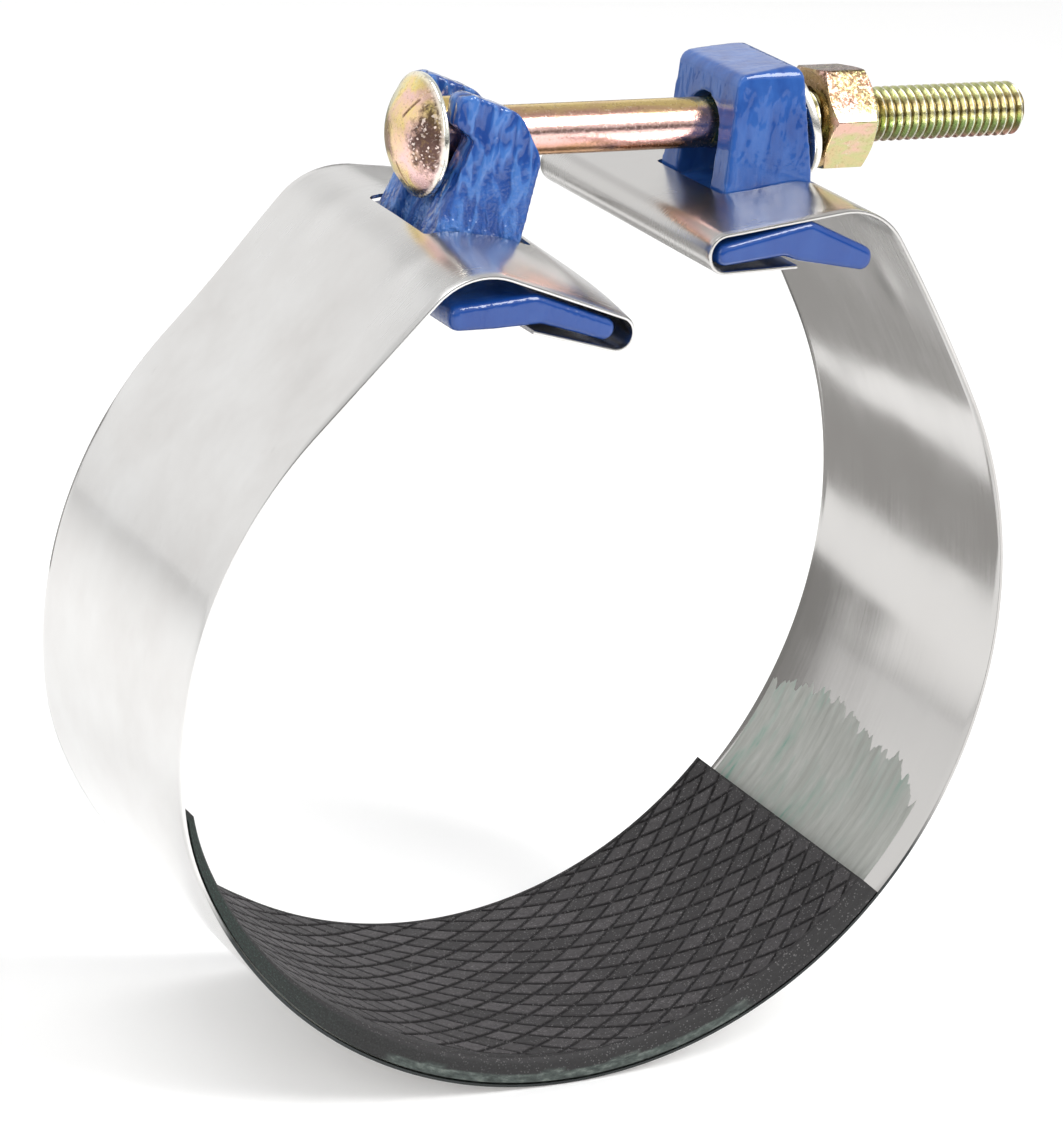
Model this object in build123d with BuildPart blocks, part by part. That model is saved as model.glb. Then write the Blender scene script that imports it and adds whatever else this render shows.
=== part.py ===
import os

from build123d import *

os.makedirs("parts", exist_ok=True)

# Single-bolt pipe repair clamp, millimetres, Z up.
# Origin on the pipe centre line at mid width, pipe along Y, bolt along X.

# ---- band strip ----
band_width = 80.0
band_thick = 0.8
ring_r = 101.2
arc = "arc"
run = "run"

# outer face of the strip from the lowest point, one list per side
right_path = [
    (arc, ring_r, 59.1),
    (arc, 105.5, 59.6),
    (arc, 477.0, 5.4),
    (arc, 16.1, 63.2),
    (run, 28.7, 0),
    (arc, 4.6, 174.5),
    (run, 17.3, 0),
]
left_path = [
    (arc, ring_r, 66.0),
    (arc, 63.3, 14.9),
    (arc, 96.7, 52.5),
    (run, 37.2, 0),
    (arc, 16.5, 66.2),
    (run, 29.1, 0),
    (arc, 4.1, 175.4),
    (run, 20.0, 0),
]

# windows in the strip for the two lug uprights
fork_window = (-37.3, -11.5)
fork_window_half = 14.7
block_window = (33.6, 57.8)
block_window_half = 15.4
relief_end = 65.5
relief_half = 8.0
# wider part of the relief, under the washer once the ring is closed
relief_shoulder = (50.0, 60.6)
relief_shoulder_half = 10.9

# ---- gasket ----
glue_thick = 0.4
pad_thick = 5.5
pad_right_sweep = 50.2
pad_left_sweep = 13.5
pad_bevel = 1.2
glue_width = 76.0
smear_sweep = 17.9
smear_width = 70.0

# ---- lugs ----
bar_length = 79.0
fork_slot = 13.6
fork_slot_floor = 99.0
tunnel_width = 15.2
tunnel_top = 115.4

# ---- bolt, nut and washer ----
bolt_z = 108.6
head_d = 27.2
head_face = -32.4
head_rim = 1.2
head_dome = 6.0
neck_long = 16.4
neck_short = 12.4
neck_length = 8.0
shank_d = 11.2
thread_d = 12.4
thread_start = 36.0
bolt_end = 116.8
nut_flats = 21.8
nut_start = 62.4
nut_length = 12.1
nut_bore = 12.54
nut_turn = -7.0
washer_od = 26.4
washer_id = 13.9
washer_thick = 2.0
washer_tilt = 14.0
washer_x = 57.9


def side_line(inset, path, turn):
    """Lines of one half of the strip, inset from its outer face."""
    spot = Vector(0, inset - ring_r)
    head = Vector(turn, 0)
    for kind, size, sweep in path:
        if kind == arc:
            edge = JernArc(spot, head, size - inset, turn * sweep)
        else:
            edge = Line(spot, spot + head * size)
        spot = edge @ 1
        head = edge % 1
    return spot


def strip_outline(inset_out, inset_in, left, right, left_in=None):
    """Closed outline between two insets of the strip line; left_in is a left path for the inner side."""
    far_left = side_line(inset_out, left, -1)
    far_right = side_line(inset_out, right, 1)
    near_left = side_line(inset_in, left_in or left, -1)
    near_right = side_line(inset_in, right, 1)
    Line(far_left, near_left)
    Line(far_right, near_right)


# ---------- band ----------
with BuildPart() as band:
    with BuildSketch(Plane.XZ):
        with BuildLine():
            strip_outline(0, band_thick, left_path, right_path)
        make_face()
    extrude(amount=band_width / 2, both=True)
    with BuildSketch(Plane.XY.offset(79.0)):
        with Locations((sum(fork_window) / 2, 0)):
            RectangleRounded(fork_window[1] - fork_window[0], 2 * fork_window_half, 1.5)
    extrude(amount=14, mode=Mode.SUBTRACT)
    with BuildSketch(Plane.XY.offset(89.0)):
        with Locations((sum(block_window) / 2, 0)):
            RectangleRounded(block_window[1] - block_window[0], 2 * block_window_half, 1.5)
        with Locations(((block_window[0] + relief_end) / 2, 0)):
            RectangleRounded(relief_end - block_window[0], 2 * relief_half, 1.5)
        with Locations((sum(relief_shoulder) / 2, 0)):
            RectangleRounded(relief_shoulder[1] - relief_shoulder[0], 2 * relief_shoulder_half, 1.5)
    extrude(amount=12, mode=Mode.SUBTRACT)

# ---------- gasket pad ----------
pad_out = band_thick + glue_thick
pad_in = pad_out + pad_thick
pad_left = [left_path[0], (arc, left_path[1][1], pad_left_sweep)]
pad_right = [(arc, ring_r, pad_right_sweep)]
# the pad thins towards its left end: its inner side flattens, then turns more tightly
pad_taper = [(arc, ring_r, 29.4), (arc, 205.0, 4.7), (arc, 90.2, 45.4)]
with BuildPart() as gasket_pad:
    with BuildSketch(Plane.XZ):
        with BuildLine():
            strip_outline(pad_out, pad_in, pad_left, pad_right, pad_taper)
        make_face()
    extrude(amount=band_width / 2, both=True)
    seat_radii = [size - pad_in for kind, size, sweep in pad_taper]
    seat = gasket_pad.faces().filter_by(GeomType.CYLINDER).filter_by(
        lambda f: any(abs(f.radius - r) < 0.01 for r in seat_radii)
    )
    chamfer(seat.edges().filter_by(GeomType.CIRCLE), pad_bevel)

# ---------- adhesive under the pad, smeared past its right end ----------
smear_right = [(arc, ring_r, 59.1), (arc, right_path[1][1], pad_right_sweep + smear_sweep - 59.1)]
with BuildPart() as adhesive:
    with BuildSketch(Plane.XZ):
        with BuildLine():
            strip_outline(band_thick, pad_out, pad_left, pad_right)
        make_face()
    extrude(amount=glue_width / 2, both=True)
    with BuildSketch(Plane.XZ):
        with BuildLine():
            strip_outline(band_thick, pad_out, [(arc, ring_r, 1.0)], smear_right)
        make_face()
    extrude(amount=smear_width / 2, both=True)

# ---------- fork lug ----------
fork_bar = [(-42.4, 76.4), (-42.4, 81.8), (-22.3, 83.6), (-3.0, 76.6), (-3.4, 71.7), (-20.7, 76.9), (-31.0, 76.4)]
ear_outline = [
    (-37.6, 82.0),
    (-35.6, 89.0),
    (-26.6, 110.0),
    (-27.8, 111.4),
    (-30.9, 113.4),
    (-30.1, 119.5),
    (-27.0, 119.9),
    (-15.6, 115.6),
    (-10.0, 105.6),
    (-14.0, 87.4),
    (-14.6, 79.0),
]
with BuildPart() as fork_lug:
    with BuildSketch(Plane.XZ) as ears:
        with BuildLine():
            Polyline(*ear_outline, close=True)
        make_face()
        fillet(ears.vertices().filter_by(lambda v: v.Y > 112 and v.X < -29), 1.1)
        fillet(ears.vertices().filter_by(lambda v: v.Y > 105 and v.X > -20), 6.5)
    extrude(amount=15, both=True)
    with BuildSketch(Plane.YZ) as ear_draft:
        with BuildLine():
            Polyline((-14.0, 76), (-14.0, 90), (-12.8, 122), (12.8, 122), (14.0, 90), (14.0, 76), close=True)
        make_face()
    extrude(amount=60, both=True, mode=Mode.INTERSECT)
    with BuildSketch(Plane.YZ) as fork_mouth:
        with Locations((0, fork_slot_floor + fork_slot / 2)):
            Circle(fork_slot / 2)
        with Locations((0, fork_slot_floor + fork_slot / 2)):
            Rectangle(fork_slot, 30, align=(Align.CENTER, Align.MIN))
    extrude(amount=60, both=True, mode=Mode.SUBTRACT)
    with BuildSketch(Plane.XZ) as web_recess:
        with BuildLine():
            Polyline((-46, 85.5), (-33.4, 85.5), (-26.4, 103), (-46, 103), close=True)
        make_face()
    extrude(amount=fork_slot / 2, both=True, mode=Mode.SUBTRACT)
    with BuildSketch(Plane.XZ) as fork_bar_face:
        with BuildLine():
            Polyline(*fork_bar, close=True)
        make_face()
        fillet(fork_bar_face.vertices().filter_by(lambda v: v.X < -40 or v.X > -5), 2.2)
        fillet(fork_bar_face.vertices().filter_by(lambda v: -30 < v.X < -20), 1.5)
    extrude(amount=bar_length / 2, both=True)

# ---------- block lug ----------
block_bar = [(20.2, 86.7), (20.2, 91.5), (42.9, 96.1), (59.0, 88.9), (58.6, 83.9), (40.4, 87.2), (36.9, 88.5)]
with BuildPart() as block_lug:
    with BuildSketch(Plane.XZ) as upright:
        with BuildLine():
            Polyline((34.0, 89), (34.9, 98), (36.6, 121.8), (52.7, 123.8), (56.6, 99), (57.0, 88), close=True)
        make_face()
        fillet(upright.vertices().filter_by(lambda v: v.Y > 115), 2.6)
    extrude(amount=16, both=True)
    with BuildSketch(Plane.YZ) as block_draft:
        with BuildLine():
            Polyline((-14.8, 86), (-14.8, 96), (-13.4, 123.4), (13.4, 123.4), (14.8, 96), (14.8, 86), close=True)
        make_face()
        fillet(block_draft.vertices().filter_by(lambda v: v.Y > 120), 2.6)
    extrude(amount=90, both=True, mode=Mode.INTERSECT)
    with BuildSketch(Plane.YZ) as tunnel:
        with Locations((0, tunnel_top - tunnel_width / 2)):
            Circle(tunnel_width / 2)
            Rectangle(tunnel_width, 40, align=(Align.CENTER, Align.MAX))
    extrude(amount=90, both=True, mode=Mode.SUBTRACT)
    with BuildSketch(Plane.XZ) as block_bar_face:
        with BuildLine():
            Polyline(*block_bar, close=True)
        make_face()
        fillet(block_bar_face.vertices().filter_by(lambda v: v.X < 22 or v.X > 57), 2.1)
        fillet(block_bar_face.vertices().filter_by(lambda v: 36 < v.X < 45), 1.2)
    extrude(amount=bar_length / 2, both=True)

# ---------- bolt ----------
axis_plane = Plane(origin=(0, 0, bolt_z), x_dir=(1, 0, 0), z_dir=(0, -1, 0))
bolt_axis = Axis((0, 0, bolt_z), (1, 0, 0))
rim_left = head_face - head_rim
dome_tip = rim_left - head_dome
with BuildPart() as bolt:
    with BuildSketch(axis_plane):
        with BuildLine():
            Line((dome_tip, 0), (bolt_end, 0))
            Line((bolt_end, 0), (bolt_end, thread_d / 2 - 1.6))
            Line((bolt_end, thread_d / 2 - 1.6), (bolt_end - 1.5, thread_d / 2))
            Line((bolt_end - 1.5, thread_d / 2), (thread_start + 0.6, thread_d / 2))
            Line((thread_start + 0.6, thread_d / 2), (thread_start, shank_d / 2))
            Line((thread_start, shank_d / 2), (head_face, shank_d / 2))
            Line((head_face, shank_d / 2), (head_face, head_d / 2 - 0.8))
            Line((head_face, head_d / 2 - 0.8), (head_face - 0.5, head_d / 2))
            Line((head_face - 0.5, head_d / 2), (rim_left, head_d / 2))
            RadiusArc((rim_left, head_d / 2), (dome_tip, 0), -(head_dome**2 + (head_d / 2) ** 2) / (2 * head_dome))
        make_face()
    revolve(axis=bolt_axis)
    with BuildSketch(Plane(origin=(head_face, 0, bolt_z), x_dir=(0, 1, 0), z_dir=(1, 0, 0))):
        Ellipse(neck_short / 2, neck_long / 2)
    extrude(amount=neck_length)

# ---------- washer, hanging loose and tilted ----------
washer_normal = Vector(1, 0, 0).rotate(Axis.Y, -washer_tilt)
washer_plane = Plane(origin=(washer_x, 0, bolt_z - 0.2), x_dir=(0, 1, 0), z_dir=washer_normal)
with BuildPart() as washer:
    with BuildSketch(washer_plane):
        Circle(washer_od / 2)
        Circle(washer_id / 2, mode=Mode.SUBTRACT)
    extrude(amount=washer_thick / 2, both=True)
    rims = washer.edges().filter_by(GeomType.CIRCLE).filter_by(lambda e: e.radius > washer_od / 2 - 0.1)
    chamfer(rims, 0.3)

# ---------- nut ----------
nut_corner = nut_flats / 1.7320508
nut_end = nut_start + nut_length
with BuildPart() as nut:
    with BuildSketch(Plane(origin=(nut_start, 0, bolt_z), x_dir=(0, 1, 0), z_dir=(1, 0, 0))):
        RegularPolygon(nut_corner, 6, rotation=nut_turn)
        Circle(nut_bore / 2, mode=Mode.SUBTRACT)
    extrude(amount=nut_length)
    with BuildSketch(axis_plane) as nut_turned:
        with BuildLine():
            Polyline(
                (nut_start, nut_bore / 2 + 0.8),
                (nut_start, nut_flats / 2 - 0.3),
                (nut_start + 1.0, nut_corner + 0.1),
                (nut_end - 1.0, nut_corner + 0.1),
                (nut_end, nut_flats / 2 - 0.3),
                (nut_end, nut_bore / 2 + 0.8),
                (nut_end - 0.8, nut_bore / 2 - 0.1),
                (nut_start + 0.8, nut_bore / 2 - 0.1),
                close=True,
            )
        make_face()
    revolve(axis=bolt_axis, mode=Mode.INTERSECT)

band.part.label = "band"
export_step(band.part, "parts/band.step")
gasket_pad.part.label = "gasket_pad"
export_step(gasket_pad.part, "parts/gasket_pad.step")
adhesive.part.label = "adhesive"
export_step(adhesive.part, "parts/adhesive.step")
fork_lug.part.label = "fork_lug"
export_step(fork_lug.part, "parts/fork_lug.step")
block_lug.part.label = "block_lug"
export_step(block_lug.part, "parts/block_lug.step")
bolt.part.label = "bolt"
export_step(bolt.part, "parts/bolt.step")
washer.part.label = "washer"
export_step(washer.part, "parts/washer.step")
nut.part.label = "nut"
export_step(nut.part, "parts/nut.step")
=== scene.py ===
import math

import bmesh
import bpy
import numpy as np
from mathutils import Matrix, Vector, noise


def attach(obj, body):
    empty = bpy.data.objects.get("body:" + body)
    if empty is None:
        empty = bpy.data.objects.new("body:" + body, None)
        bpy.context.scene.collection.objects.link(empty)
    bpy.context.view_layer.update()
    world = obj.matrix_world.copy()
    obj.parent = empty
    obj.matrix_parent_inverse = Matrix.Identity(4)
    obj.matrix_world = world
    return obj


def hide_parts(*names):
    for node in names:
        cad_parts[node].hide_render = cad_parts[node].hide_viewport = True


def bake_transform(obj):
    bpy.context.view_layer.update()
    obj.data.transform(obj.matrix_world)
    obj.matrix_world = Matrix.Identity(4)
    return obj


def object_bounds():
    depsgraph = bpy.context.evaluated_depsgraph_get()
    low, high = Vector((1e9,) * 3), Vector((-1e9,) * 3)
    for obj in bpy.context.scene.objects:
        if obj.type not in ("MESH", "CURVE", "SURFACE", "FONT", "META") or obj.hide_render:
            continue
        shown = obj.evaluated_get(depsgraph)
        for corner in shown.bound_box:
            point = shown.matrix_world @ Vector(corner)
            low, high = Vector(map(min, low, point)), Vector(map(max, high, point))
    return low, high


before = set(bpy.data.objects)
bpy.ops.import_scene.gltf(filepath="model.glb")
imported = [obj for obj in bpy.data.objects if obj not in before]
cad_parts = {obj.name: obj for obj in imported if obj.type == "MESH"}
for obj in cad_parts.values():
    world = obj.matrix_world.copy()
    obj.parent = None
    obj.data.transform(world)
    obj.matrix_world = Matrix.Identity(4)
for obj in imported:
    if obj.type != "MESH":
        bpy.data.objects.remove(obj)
cad_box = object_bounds()

# Shapes are worked out in millimetres and stored in metres.
MM = 0.001

# ---------- sizes shared with the CAD model, in millimetres ----------
BAND_WIDTH = 80.0
BAND_THICK = 0.8
RING_R = 101.2
RIGHT_PATH = [
    ("arc", RING_R, 59.1),
    ("arc", 105.5, 59.6),
    ("arc", 477.0, 5.4),
    ("arc", 16.1, 63.2),
    ("run", 28.7, 0),
    ("arc", 4.6, 174.5),
    ("run", 17.3, 0),
]
LEFT_PATH = [
    ("arc", RING_R, 66.0),
    ("arc", 63.3, 14.9),
    ("arc", 96.7, 52.5),
    ("run", 37.2, 0),
    ("arc", 16.5, 66.2),
    ("run", 29.1, 0),
    ("arc", 4.1, 175.4),
    ("run", 20.0, 0),
]
# windows cut in the strip: lowest and highest x, half width, lowest and highest z; the last two are
# the relief that lets the nut and the tilted washer past
WINDOWS = [
    (-37.3, -11.5, 14.7, 79.0, 97.0),
    (33.6, 57.8, 15.4, 89.0, 101.0),
    (40.0, 65.5, 8.0, 89.0, 101.0),
    (50.0, 60.6, 10.9, 89.0, 101.0),
]
WINDOW_CORNER = 1.5
PAD_OUT = 1.2
PAD_IN = 6.7
PAD_BEVEL = 1.2
PAD_LEFT_S = RING_R * math.radians(66.0) + 63.3 * math.radians(13.5)
PAD_RIGHT_S = RING_R * math.radians(50.2)
BOLT_Z = 108.6
BOLT_END = 116.8
HEAD_FACE = -32.4
HEAD_R = 13.6
HEAD_RIM = 1.2
HEAD_DOME = 6.0
NECK = (8.2, 6.2, 8.0)
SHANK_R = 5.6
THREAD_START = 36.0
THREAD_R = 6.2
THREAD_ROOT = 4.95
THREAD_PITCH = 2.117
# plain dashes on the bolt's head: turns in degrees, span from the middle, half width in radians
DASH_TURNS = (0, 120, 258.75)
DASH_SPAN = (5.5, 10.5)
DASH_HALF = 0.018
DASH_DEPTH = 0.35
NUT_START = 62.4
NUT_LENGTH = 12.1
NUT_FLATS = 21.8
NUT_TURN = math.radians(-7.0)
NUT_BORE_R = 6.27
WASHER_CENTRE = (57.9, 0.0, 108.4)
WASHER_TILT = math.radians(14.0)
WASHER_R = (6.95, 13.2)
WASHER_THICK = 2.0
# points in each ring of the bolt and the washer
AROUND = 192


# ---------- the strip's line: s along it from the lowest point, inset from its outer face ----------
def direction(angle):
    """The unit vector at an angle."""
    return np.array([math.cos(angle), math.sin(angle)])


def leftward(angle):
    """The unit vector a quarter turn on from an angle."""
    return np.array([-math.sin(angle), math.cos(angle)])


def strip_segments(path, turn):
    """Start, length, point, heading and radius of each stretch of one half."""
    spot = np.array([0.0, -RING_R])
    heading = 0.0 if turn > 0 else math.pi
    start = 0.0
    rows = []
    for kind, size, sweep in path:
        curved = kind == "arc"
        length = size * math.radians(sweep) if curved else size
        rows.append((start, length, spot, heading, size if curved else None))
        if curved:
            centre = spot + turn * leftward(heading) * size
            heading += turn * math.radians(sweep)
            spot = centre - size * turn * leftward(heading)
        else:
            spot = spot + size * direction(heading)
        start += length
    return rows


HALVES = {1: strip_segments(RIGHT_PATH, 1), -1: strip_segments(LEFT_PATH, -1)}


def strip_end(turn):
    """Length of one half of the strip."""
    start, length = HALVES[turn][-1][:2]
    return start + length


def on_strip(s, y, inset):
    """Points in millimetres for arrays of place along the strip, place across it and inset."""
    s, y, inset = np.broadcast_arrays(*(np.asarray(v, float) for v in (s, y, inset)))
    out = np.zeros(s.shape + (3,))
    out[..., 1] = y
    for turn, rows in HALVES.items():
        side = (s >= 0) if turn > 0 else (s < 0)
        for index, (start, length, spot, heading, radius) in enumerate(rows):
            last = index == len(rows) - 1
            here = side & (abs(s) >= start) & ((abs(s) < start + length) | last)
            along = abs(s[here]) - start
            inward = turn * leftward(heading)
            if radius is None:
                flat = spot + along[:, None] * direction(heading) + inset[here][:, None] * inward
            else:
                angle = heading + turn * along / radius
                turned = turn * np.stack([-np.sin(angle), np.cos(angle)], -1)
                flat = spot + inward * radius - turned * (radius - inset[here])[:, None]
            out[here, 0] = flat[:, 0]
            out[here, 2] = flat[:, 1]
    return out


def stations(low, high, step=2.5, turn_step=7.0):
    """Places along the strip between two limits, closer together where it bends tightly."""
    places = [low, high]
    for turn, rows in HALVES.items():
        for start, length, _spot, _heading, radius in rows:
            reach = step if radius is None else min(step, radius * math.radians(turn_step))
            count = max(1, math.ceil(length / reach))
            places += [turn * (start + length * k / count) for k in range(count + 1)]
    places = sorted(p for p in places if low <= p <= high)
    kept = [places[0]]
    for p in places[1:]:
        if p - kept[-1] > 0.02:
            kept.append(p)
    kept[-1] = high
    return np.array(kept)


def pad_share(s):
    """The pad's thickness at each place, as a share of the full one: it thins towards its left end."""
    places = [-PAD_LEFT_S, -116.0, -100.0, -80.0, -64.0, -52.0]
    return np.interp(s, places, [0.32, 0.44, 0.54, 0.72, 0.93, 1.0])


# ---------- mesh helpers ----------
def new_object(name, points, faces, uvs=None):
    """A mesh object from points in millimetres; uvs holds one (u, v) in millimetres a point."""
    mesh = bpy.data.meshes.new(name)
    mesh.from_pydata([tuple(p) for p in np.asarray(points, float) * MM], [], faces)
    if uvs is not None:
        layer = mesh.uv_layers.new(name="place")
        corners = np.zeros(len(mesh.loops), int)
        mesh.loops.foreach_get("vertex_index", corners)
        layer.data.foreach_set("uv", (np.asarray(uvs, float)[corners] * MM).ravel())
    mesh.validate()
    obj = bpy.data.objects.new(name, mesh)
    bpy.context.scene.collection.objects.link(obj)
    return obj


def loft(loops, closed_ends=True):
    """Points and faces of a skin over equal closed loops."""
    loops = np.asarray(loops, float)
    count, size = loops.shape[:2]
    faces = []
    for i in range(count - 1):
        for j in range(size):
            k = (j + 1) % size
            faces.append((i * size + j, i * size + k, (i + 1) * size + k, (i + 1) * size + j))
    if closed_ends:
        faces.append(tuple(reversed(range(size))))
        faces.append(tuple((count - 1) * size + j for j in range(size)))
    return loops.reshape(-1, 3), faces


def rounded(corners, steps=8):
    """An outline with arcs for corners; each corner is two coordinates and a radius."""
    points = []
    spots = [np.array(corner[:2], float) for corner in corners]
    for i, (here, (*_spot, radius)) in enumerate(zip(spots, corners)):
        if not radius:
            points.append(here)
            continue
        back = spots[i - 1] - here
        ahead = spots[(i + 1) % len(spots)] - here
        back /= np.linalg.norm(back)
        ahead /= np.linalg.norm(ahead)
        half = math.acos(float(np.clip(back @ ahead, -1, 1))) / 2
        centre = here + (back + ahead) / np.linalg.norm(back + ahead) * radius / math.sin(half)
        first = here + back * radius / math.tan(half) - centre
        last = here + ahead * radius / math.tan(half) - centre
        turn = math.atan2(first[0] * last[1] - first[1] * last[0], float(first @ last))
        across = np.array([-first[1], first[0]])
        for k in range(steps + 1):
            a = turn * k / steps
            points.append(centre + first * math.cos(a) + across * math.sin(a))
    return [tuple(p) for p in points]


def grid_quads(rows, columns):
    """Point numbers of a grid of points, and its faces."""
    grid = np.arange(rows * columns).reshape(rows, columns)
    corners = [grid[:-1, :-1], grid[1:, :-1], grid[1:, 1:], grid[:-1, 1:]]
    return grid, np.stack(corners, -1).reshape(-1, 4)


def apply_modifiers(obj):
    """Replaces the object's mesh by its evaluated one."""
    depsgraph = bpy.context.evaluated_depsgraph_get()
    mesh = bpy.data.meshes.new_from_object(obj.evaluated_get(depsgraph))
    obj.modifiers.clear()
    obj.data = mesh


def carve(obj, tools):
    """Cuts an object by other closed objects, which are then removed."""
    for operation, tool in tools:
        cut = obj.modifiers.new("carve", "BOOLEAN")
        cut.operation = operation
        cut.solver = "EXACT"
        cut.object = tool
    apply_modifiers(obj)
    for _operation, tool in tools:
        bpy.data.objects.remove(tool)


def tidy_normals(obj, sharp_degrees):
    """Merges doubles, turns the faces outwards and smooths all but the sharp edges."""
    bm = bmesh.new()
    bm.from_mesh(obj.data)
    bmesh.ops.remove_doubles(bm, verts=bm.verts, dist=0.00001)
    bmesh.ops.dissolve_degenerate(bm, edges=bm.edges, dist=0.000005)
    bmesh.ops.recalc_face_normals(bm, faces=bm.faces)
    bm.to_mesh(obj.data)
    bm.free()
    obj.data.shade_smooth()
    obj.data.set_sharp_from_angle(angle=math.radians(sharp_degrees))


def bend_with_ring(obj):
    """Bakes the object's placement into its mesh."""
    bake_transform(obj)


def finish_piece(obj, material, node, body=None):
    """Gives a piece its material, hides its CAD node's part and fixes it to its body; with no body its
    placement is baked into its mesh.
    """
    obj.data.materials.clear()
    obj.data.materials.append(material)
    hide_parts(node)
    if body:
        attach(obj, body)
    else:
        bend_with_ring(obj)


# ---------- material helpers ----------
class Nodes:
    """Builds up a node tree round one vector of places, in millimetres."""

    def __init__(self, tree, place=None):
        self.tree = tree
        self.place = place

    def add(self, kind, inputs, **settings):
        """A new node. An input that is given a socket is linked to it; any other is set to its value."""
        node = self.tree.nodes.new(kind)
        for name, value in settings.items():
            setattr(node, name, value)
        for key, value in inputs.items():
            if isinstance(value, bpy.types.NodeSocket):
                self.tree.links.new(value, node.inputs[key])
            else:
                node.inputs[key].default_value = value
        return node

    def stretched(self, factors, offset=(0, 0, 0)):
        """The places multiplied by factors and moved by offset."""
        inputs = {"Vector": self.place, "Location": offset, "Scale": factors}
        return self.add("ShaderNodeMapping", inputs).outputs[0]

    def noise(self, size, detail=3.0, roughness=0.5, stretch=(1, 1, 1), offset=(0, 0, 0), warp=0.0):
        """Noise with blobs about size millimetres across."""
        place = self.stretched(tuple(f / size for f in stretch), offset)
        inputs = {"Vector": place, "Scale": 1.0, "Detail": detail, "Roughness": roughness, "Distortion": warp}
        return self.add("ShaderNodeTexNoise", inputs).outputs["Fac"]

    def speckle(self, size, offset=(0, 0, 0)):
        """Random value of each cell about size millimetres across."""
        place = self.stretched((1 / size,) * 3, offset)
        cells = self.add("ShaderNodeTexVoronoi", {"Vector": place, "Scale": 1.0})
        return self.add("ShaderNodeSeparateColor", {0: cells.outputs["Color"]}).outputs[0]

    def axis(self, index):
        """The place along one axis."""
        return self.add("ShaderNodeSeparateXYZ", {0: self.place}).outputs[index]

    def attribute(self, name):
        """A value that the mesh stores for each point."""
        return self.add("ShaderNodeAttribute", {}, attribute_name=name).outputs["Fac"]

    def spread(self, value, low, high, to_low=0.0, to_high=1.0):
        """Maps low..high to to_low..to_high, held at the ends."""
        inputs = {0: value, 1: low, 2: high, 3: to_low, 4: to_high}
        return self.add("ShaderNodeMapRange", inputs).outputs["Result"]

    def maths(self, operation, first, second=0.0):
        return self.add("ShaderNodeMath", {0: first, 1: second}, operation=operation).outputs[0]

    def product(self, first, *others):
        for other in others:
            first = self.maths("MULTIPLY", first, other)
        return first

    def away(self, value):
        """How far a value is from nought."""
        return self.maths("ABSOLUTE", value)

    def squared(self, value, middle=0.0, reach=1.0):
        """The square of a value's distance from middle, in reaches."""
        gap = self.maths("DIVIDE", self.maths("ADD", value, -middle), reach)
        return self.maths("POWER", self.away(gap), 2.0)

    def ramp(self, value, *stops):
        """A colour ramp; each stop is a place followed by the three parts of its colour."""
        node = self.add("ShaderNodeValToRGB", {"Fac": value})
        elements = node.color_ramp.elements
        while len(elements) < len(stops):
            elements.new(0.5)
        for element, (place, *colour) in zip(elements, stops):
            element.position = place
            element.color = (*colour, 1.0)
        return node.outputs["Color"]

    def mixed(self, factor, first, second):
        """Goes from the first colour to the second by factor."""
        ends = [(*colour, 1.0) if isinstance(colour, tuple) else colour for colour in (first, second)]
        inputs = {0: factor, 6: ends[0], 7: ends[1]}
        return self.add("ShaderNodeMix", inputs, data_type="RGBA").outputs[2]

    def bump(self, height, depth, below=None):
        """Bump of a 0..1 height over depth millimetres, on top of another bump's normal."""
        inputs = {"Height": height, "Strength": 1.0, "Distance": depth * MM}
        if below is not None:
            inputs["Normal"] = below
        return self.add("ShaderNodeBump", inputs).outputs["Normal"]


class Look(Nodes):
    """A Principled material. Its places are the object's own, or those along and across the strip."""

    def __init__(self, name, by_place=False, **sockets):
        self.material = bpy.data.materials.new(name)
        self.material.use_nodes = True
        super().__init__(self.material.node_tree)
        self.shader = self.tree.nodes["Principled BSDF"]
        for socket, value in sockets.items():
            self.shader.inputs[socket.replace("_", " ")].default_value = value
        source = self.add("ShaderNodeTexCoord", {}).outputs["UV" if by_place else "Object"]
        scaled = self.add("ShaderNodeVectorMath", {0: source}, operation="SCALE")
        scaled.inputs["Scale"].default_value = 1 / MM
        self.place = scaled.outputs[0]

    def finished(self, colour, roughness, normal):
        """Joins up the shader, where a look isn't uniform, and gives the material."""
        for socket, value in (("Base Color", colour), ("Roughness", roughness), ("Normal", normal)):
            if value is not None:
                self.tree.links.new(value, self.shader.inputs[socket])
        return self.material


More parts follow.
